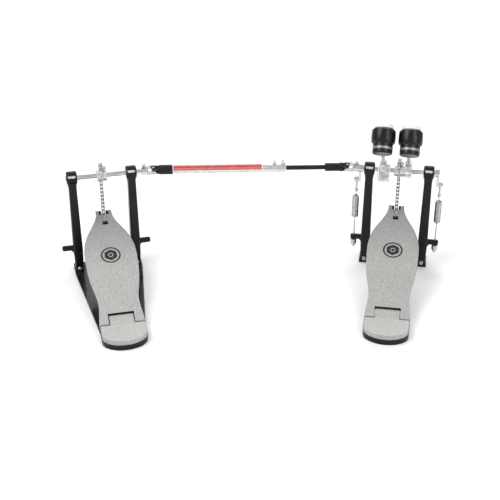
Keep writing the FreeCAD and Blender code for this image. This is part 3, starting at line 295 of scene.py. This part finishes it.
def grey_cast(pedal):
    """Silver-grey hammered enamel: metal flake, soft dimples, scuffs where the foot rests, and painted shade in
    the hinge gap and towards the toe.
    """
    s = Surface("grey_cast_" + pedal, Coat_Weight=0.12, Coat_Roughness=0.3)
    edge, rounded = s.edges(1.2 * MM)
    here = board_frame(s, pedal)
    foot = s.node("SeparateXYZ", here)
    flake = s.noise(0.6 * MM, 3, 0.7)
    paint = hammered_paint(s, flake)
    # painted shade: the tread darkens towards the toe
    paint = s.mix(s.ramp(foot.outputs["Y"], *TOE_PAINTED_SHADE, 0.0, 0.75), paint, (0.20, 0.20, 0.195))
    drag = s.vector("MULTIPLY", here, (420.0, 45.0, 420.0))
    reach = s.between(foot.outputs["Y"], SCUFF_START, SCUFF_END)
    scuff = s.times(s.ramp(s.noise(1.0, 6, 0.55, drag), 0.60, 0.78, 0.0, 0.5), reach)
    paint = s.mix(scuff, paint, (0.62, 0.62, 0.62))
    paint = s.mix(s.times(edge, 0.55), paint, (0.14, 0.14, 0.14))
    # print on the medallion, and painted shade on the hinge gap's walls
    print_and_painted_shade = s.math("MAXIMUM", medallion_print(s, here, foot.outputs["Z"]), hinge_gap_painted_shade(s, foot))
    s.set("Base Color", s.mix(print_and_painted_shade, paint, (0.012, 0.012, 0.013)))
    s.set("Metallic", s.ramp(print_and_painted_shade, 0.0, 1.0, 0.30, 0.0))
    grip = s.ramp(s.noise(2.2 * MM, 4), 0.3, 0.7, 0.36, 0.52)
    s.set("Roughness", s.math("SUBTRACT", grip, s.times(scuff, 0.25)))
    hammered = s.bump(s.cells(2.8 * MM, "SMOOTH_F1"), 0.22 * MM, rounded)
    s.set("Normal", s.bump(flake, 0.04 * MM, hammered))
    return s.material


def chrome():
    """Bright plate with faint swirl marks and smudges."""
    s = Surface("chrome", Metallic=1.0)
    rounded = s.edges(0.5 * MM)[1]
    smudge = s.noise(14 * MM, 5, 0.6)
    swirl = s.noise(0.5 * MM, 2, 0.5, s.stretched((1.0, 9.0, 1.0)))
    s.set("Base Color", s.mix(s.ramp(smudge, 0.35, 0.75), (0.66, 0.66, 0.675), (0.46, 0.46, 0.465)))
    s.set("Roughness", s.ramp(smudge, 0.35, 0.75, 0.07, 0.19))
    s.set("Normal", s.bump(swirl, 0.006 * MM, rounded))
    return s.material


def hub_silver():
    """Satin-polished hub castings: soft grain under the plate, with painted shade darkening the edges and corners.
    """
    s = Surface("hub_silver", Metallic=0.6)
    edge, rounded = s.edges(1.6 * MM)
    cloud = s.noise(6 * MM, 5, 0.65)
    plate = s.mix(s.ramp(cloud, 0.40, 0.62), (0.86, 0.86, 0.865), (0.50, 0.50, 0.50))
    # painted shade: the plate darkens near edges and corners
    s.set("Base Color", s.mix(s.times(edge, 0.85), plate, (0.06, 0.06, 0.065)))
    s.set("Roughness", s.ramp(s.noise(2.5 * MM, 4), 0.3, 0.7, 0.16, 0.32))
    s.set("Normal", s.bump(s.noise(0.8 * MM, 3, 0.7), 0.03 * MM, rounded))
    return s.material


def steel(name="steel", light=0.62, grain=1.2 * MM):
    """Zinc or nickel plate on turned parts: fine grain, cloudy tarnish."""
    s = Surface(name, Metallic=1.0)
    rounded = s.edges(0.4 * MM)[1]
    cloud = s.noise(7 * MM, 5, 0.65)
    bright, dull = (light, light, light * 1.01), (light * 0.66, light * 0.65, light * 0.62)
    s.set("Base Color", s.mix(s.ramp(cloud, 0.35, 0.7), bright, dull))
    s.set("Roughness", s.ramp(s.noise(3 * MM, 4), 0.3, 0.7, 0.20, 0.38))
    s.set("Normal", s.bump(s.noise(grain, 3, 0.7), 0.02 * MM, rounded))
    return s.material


def black_steel():
    """Blacked steel of the drive shaft: satin, with fine handling marks."""
    s = Surface("black_steel", Specular_IOR_Level=0.25)
    edge, rounded = s.edges(0.6 * MM)
    marks = s.noise(2.5 * MM, 6, 0.7, s.stretched((0.25, 1.0, 1.0)))
    base = s.mix(s.ramp(marks, 0.4, 0.7), (0.005, 0.005, 0.006), (0.018, 0.018, 0.020))
    s.set("Base Color", s.mix(s.times(edge, 0.5), base, (0.10, 0.10, 0.105)))
    s.set("Roughness", s.ramp(marks, 0.3, 0.7, 0.24, 0.40))
    s.set("Normal", s.bump(s.noise(0.5 * MM, 3), 0.012 * MM, rounded))
    return s.material


def label_red():
    """Plain red film of the drive tube: foil-like, with a painted highlight band along it, scuffed."""
    s = Surface("label_red", Metallic=0.35, Coat_Weight=0.6, Coat_Roughness=0.08)
    here = s.vector("SUBTRACT", s.place, tuple(MAIN_JOINT))
    painted_highlight = s.between(s.node("SeparateXYZ", here).outputs["Z"], *LABEL_PAINTED_HIGHLIGHT)
    scuffs = s.ramp(s.noise(4 * MM, 6, 0.7, s.stretched((0.3, 1.0, 1.0))), 0.56, 0.70, 0.0, 0.6)
    ink = s.mix(s.ramp(s.noise(18 * MM, 3), 0.3, 0.7), (0.44, 0.045, 0.035), (0.56, 0.075, 0.055))
    # painted highlight: a pinkish band along the tube
    ink = s.mix(s.times(painted_highlight, 0.35), ink, (0.86, 0.42, 0.36))
    s.set("Base Color", s.mix(scuffs, ink, (0.74, 0.38, 0.33)))
    s.set("Roughness", s.ramp(scuffs, 0.0, 0.5, 0.20, 0.42))
    s.set("Normal", s.bump(s.noise(1.2 * MM, 2), 0.008 * MM))
    return s.material


def label_edge():
    """Pale border of the red film."""
    s = Surface("label_edge", Coat_Weight=0.5, Coat_Roughness=0.1)
    s.set("Base Color", s.mix(s.noise(5 * MM, 5), (0.72, 0.72, 0.71), (0.86, 0.86, 0.85)))
    s.set("Roughness", s.ramp(s.noise(3 * MM, 4), 0.3, 0.7, 0.2, 0.35))
    return s.material


def black_plastic():
    """Moulded black of the beater heads, polished by handling, with a brushed silver band and a painted highlight
    round its middle.
    """
    s = Surface("black_plastic", Specular_IOR_Level=0.2, Coat_Weight=0.15, Coat_Roughness=0.1)
    edge, rounded = s.edges(0.7 * MM)
    rub = s.ramp(s.noise(8 * MM, 6, 0.65), 0.5, 0.75, 0.0, 0.5)
    base = s.mix(rub, (0.004, 0.004, 0.0045), (0.016, 0.016, 0.017))
    base = s.mix(s.times(edge, 0.4), base, (0.06, 0.06, 0.06))
    here = s.vector("SUBTRACT", s.place, tuple(HEAD))
    along = s.vector("DOT_PRODUCT", here, tuple(STRIKE), "Value")
    band = s.between(along, (BAND[0] - BAND_SOFT, BAND[0] + BAND_SOFT),
                     (BAND[1] + BAND_SOFT, BAND[1] - BAND_SOFT))
    hair = s.noise(1.0, 3, 0.6, s.vector("MULTIPLY", here, (300.0, 2600.0, 2600.0)))
    middle = s.math("ABSOLUTE", s.math("SUBTRACT", along, (BAND[0] + BAND[1]) / 2))
    # painted highlight: a lighter line round the middle of the band
    painted_ridge_highlight = s.ramp(middle, 0.4 * MM, 1.6 * MM, 1.0, 0.0)
    silver = s.mix(hair, (0.10, 0.10, 0.102), (0.20, 0.20, 0.205))
    silver = s.mix(s.times(painted_ridge_highlight, 0.6), silver, (0.38, 0.38, 0.385))
    s.set("Base Color", s.mix(band, base, silver))
    s.set("Metallic", s.times(band, 0.5))
    s.set("Roughness", s.ramp(s.noise(1.5 * MM, 4), 0.3, 0.7, 0.22, 0.38))
    s.set("Normal", s.bump(s.cells(0.7 * MM), 0.02 * MM, rounded))
    return s.material


def white_felt():
    """Pressed wool: matted fibres, a little grey where it strikes."""
    s = Surface("white_felt", Roughness=0.95, Sheen_Weight=0.6, Sheen_Roughness=0.4)
    fibres = s.noise(0.5 * MM, 6, 0.75)
    mats = s.noise(3.5 * MM, 5, 0.7)
    wool = s.mix(s.ramp(fibres, 0.3, 0.7), (0.74, 0.72, 0.66), (0.93, 0.92, 0.88))
    s.set("Base Color", s.mix(s.ramp(mats, 0.35, 0.75, 0.0, 0.3), wool, (0.70, 0.67, 0.60)))
    tufts = s.bump(mats, 0.35 * MM)
    s.set("Normal", s.bump(fibres, 0.18 * MM, tufts))
    return s.material


def floor_paint():
    """Pale matt studio floor, very slightly uneven."""
    s = Surface("floor_paint", Roughness=0.6)
    s.set("Base Color", s.mix(s.noise(0.4, 3), (0.90, 0.90, 0.90), (0.93, 0.93, 0.93)))
    return s.material


MATERIALS = {
    "black_cast": black_cast(),
    "grey_cast_main": grey_cast("main"),
    "grey_cast_slave": grey_cast("slave"),
    "chrome": chrome(),
    "steel": steel(),
    "bearing": steel("bearing", 0.95, 0.8 * MM),
    "hub_silver": hub_silver(),
    "chain_steel": steel("chain_steel", 0.50, 0.6 * MM),
    "tube_steel": steel("tube_steel", 0.74, 0.4 * MM),
    "black_steel": black_steel(),
    "black_plastic": black_plastic(),
    "white_felt": white_felt(),
}
# Nodes whose look differs from their slot's.
FINISH = {"main_bearings": "bearing", "slave_bearings": "bearing", "aux_beater_hub": "hub_silver",
          "main_sprocket_hub": "hub_silver", "slave_sprocket_hub": "hub_silver"}


def dress(obj, material):
    obj.data.materials.clear()
    obj.data.materials.append(material)


def dress_nodes():
    """Gives each CAD node the finish that the record's slot names."""
    for row in frame["record"]["subparts"]:
        name, slot = row["node"], row["material_slot"]
        if slot == "grey_cast":
            slot += "_slave" if name.startswith("slave") else "_main"
        dress(NODES[name], MATERIALS[FINISH.get(name, slot)])


# ---- mesh helpers ----
def piece(name, mesh_data, material, body=None):
    obj = bpy.data.objects.new(name, mesh_data)
    bpy.context.scene.collection.objects.link(obj)
    dress(obj, material)
    if body:
        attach(obj, body)
    return obj


def smooth(mesh):
    mesh.polygons.foreach_set("use_smooth", [True] * len(mesh.polygons))


def wire(name, points, radius, sides=12):
    """A round wire through the points, closed at its ends."""
    mesh = bpy.data.meshes.new(name)
    bm = bmesh.new()
    normal = None
    rings = []
    for index, point in enumerate(points):
        ahead = points[min(index + 1, len(points) - 1)] - points[max(index - 1, 0)]
        ahead.normalize()
        if normal is None:
            normal = ahead.orthogonal().normalized()
        normal = (normal - ahead * normal.dot(ahead)).normalized()
        side = ahead.cross(normal)
        turns = [2 * pi * i / sides for i in range(sides)]
        rings.append([bm.verts.new(point + (normal * cos(turn) + side * sin(turn)) * radius)
                      for turn in turns])
    for lower, upper in zip(rings, rings[1:]):
        for i in range(sides):
            j = (i + 1) % sides
            bm.faces.new((lower[i], lower[j], upper[j], upper[i]))
    bm.faces.new(list(reversed(rings[0])))
    bm.faces.new(rings[-1])
    bmesh.ops.recalc_face_normals(bm, faces=bm.faces)
    bm.to_mesh(mesh)
    bm.free()
    smooth(mesh)
    return mesh


def wrapped_strip(name, start, end, radius, low, high, thick, material):
    """A thin printed film bent round the drive tube between two angles above its front."""
    up = Vector((0, 0, 1))
    side = up.cross(DRIVE)
    steps = 40
    bm = bmesh.new()
    rings = []
    for index in range(steps + 1):
        angle = radians(low + (high - low) * index / steps)
        away = side * cos(angle) + up * sin(angle)
        corners = ((start, radius), (end, radius), (end, radius + thick), (start, radius + thick))
        rings.append([bm.verts.new(MAIN_JOINT + DRIVE * reach + away * size)
                      for reach, size in corners])
    for first, second in zip(rings, rings[1:]):
        for i in range(4):
            j = (i + 1) % 4
            bm.faces.new((first[i], first[j], second[j], second[i]))
    bm.faces.new(list(reversed(rings[0])))
    bm.faces.new(rings[-1])
    bmesh.ops.recalc_face_normals(bm, faces=bm.faces)
    mesh = bpy.data.meshes.new(name)
    bm.to_mesh(mesh)
    bm.free()
    return piece(name, mesh, material, "drive_tube")


def drive_label():
    """Plain red film along the upper front of the drive tube, with pale borders."""
    start, end = LABEL_REACH
    low, high = LABEL_ANGLES
    wide_low, wide_high = low - LABEL_BORDER_ANGLE, high + LABEL_BORDER_ANGLE
    under = DRIVE_TUBE_R + LABEL_LIFT
    red, pale = label_red(), label_edge()
    wrapped_strip("label_red", start, end, under, low, high, LABEL_FILM, red)
    for name, first, last in (("label_front", wide_low, low), ("label_back", high, wide_high)):
        wrapped_strip(name, start, end, under, first, last, LABEL_FILM, pale)
    for name, at in (("label_start", start - LABEL_BORDER), ("label_end", end)):
        wrapped_strip(name, at, at + LABEL_BORDER, under, wide_low, wide_high, LABEL_FILM, pale)


def coil_points(x, steps=36):
    """Middle of a close-wound coil's wire, easing in to the axis at both ends."""
    bottom, top = SPRING_COIL
    count = SPRING_TURNS * steps
    points = []
    for index in range(count + 1):
        angle = 2 * pi * index / steps
        ease = min(1.0, index / steps, (count - index) / steps)
        spread = SPRING_COIL_R * (0.25 + 0.75 * ease)
        height = bottom + (top - bottom) * index / count
        points.append(Vector((x + spread * cos(angle), spread * sin(angle), height)))
    return points


def stretching_spring(side):
    """A close-wound coil from its foot on the frame up to the lever's hook, in place of the CAD spring."""
    node, name = side + "_spring", side + "_coil"
    lowest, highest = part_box(node)
    x = (lowest[0] + highest[0]) / 2
    bottom, top = SPRING_COIL
    hook_y = joint_place(side + "_swivel_turn").y
    tail = [Vector((x, 0, lowest[2] + 0.5 * MM)), Vector((x, 0, bottom - 3 * MM))]
    hook = [Vector((x, 0.3 * hook_y, top + 2 * MM)), Vector((x, hook_y, highest[2] - 0.3 * MM))]
    mesh = wire(name, tail + coil_points(x) + hook, SPRING_WIRE_R)
    coil = piece(name, mesh, MATERIALS["steel"])
    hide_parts(node)
    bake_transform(coil)


# ---- camera, floor and light ----
def camera():
    data = bpy.data.cameras.new("camera")
    data.lens, data.sensor_width = CAMERA_LENS, 36.0
    data.clip_end = 200.0
    obj = bpy.data.objects.new("camera", data)
    bpy.context.scene.collection.objects.link(obj)
    obj.location = CAMERA_AT
    obj.rotation_euler = Vector(CAMERA_AIM).to_track_quat("-Z", "Y").to_euler()
    bpy.context.scene.camera = obj


def softbox(name, place, aim, size, watts):
    data = bpy.data.lights.new(name, "AREA")
    data.shape = "RECTANGLE"
    data.size, data.size_y = size
    data.energy = watts
    obj = bpy.data.objects.new(name, data)
    bpy.context.scene.collection.objects.link(obj)
    obj.location = place
    obj.rotation_euler = (Vector(aim) - Vector(place)).to_track_quat("-Z", "Y").to_euler()


def stage():
    """Pale floor and three softboxes."""
    mesh = bpy.data.meshes.new("floor")
    bm = bmesh.new()
    bmesh.ops.create_grid(bm, x_segments=8, y_segments=8, size=FLOOR_HALF)
    bm.to_mesh(mesh)
    bm.free()
    floor = bpy.data.objects.new("floor", mesh)
    floor.location.z = -0.2 * MM
    bpy.context.scene.collection.objects.link(floor)
    dress(floor, floor_paint())
    middle_x = (CAD_BOX[0].x + CAD_BOX[1].x) / 2
    softbox("key", (middle_x - 1.3, -0.9, 2.2), (middle_x, 0, 0.1), (1.4, 1.4), 34)
    softbox("fill", (middle_x + 1.7, -1.2, 1.5), (middle_x, -0.1, 0.1), (1.0, 1.6), 16)
    softbox("back", (middle_x, 1.9, 1.8), (middle_x, 0, 0.1), (2.2, 0.8), 20)


def studio_sky():
    """Pale overhead and greyer near the horizon, which gives the chrome its contrast."""
    world = bpy.data.worlds.new("studio")
    bpy.context.scene.world = world
    world.use_nodes = True
    tree = world.node_tree
    coordinate = tree.nodes.new("ShaderNodeTexCoord")
    split = tree.nodes.new("ShaderNodeSeparateXYZ")
    ramp = tree.nodes.new("ShaderNodeValToRGB")
    tree.links.new(coordinate.outputs["Generated"], split.inputs[0])
    tree.links.new(split.outputs["Z"], ramp.inputs[0])
    tree.links.new(ramp.outputs[0], tree.nodes["Background"].inputs["Color"])
    stops = ramp.color_ramp.elements
    stops[0].position, stops[0].color = 0.0, (0.28, 0.28, 0.29, 1)
    stops[1].position, stops[1].color = 0.22, (1.0, 1.0, 1.0, 1)
    tree.nodes["Background"].inputs["Strength"].default_value = 0.75
    bpy.context.scene.view_settings.view_transform = "Standard"


camera()
stage()
studio_sky()
dress_nodes()
drive_label()
stretching_spring("main")
stretching_spring("aux")
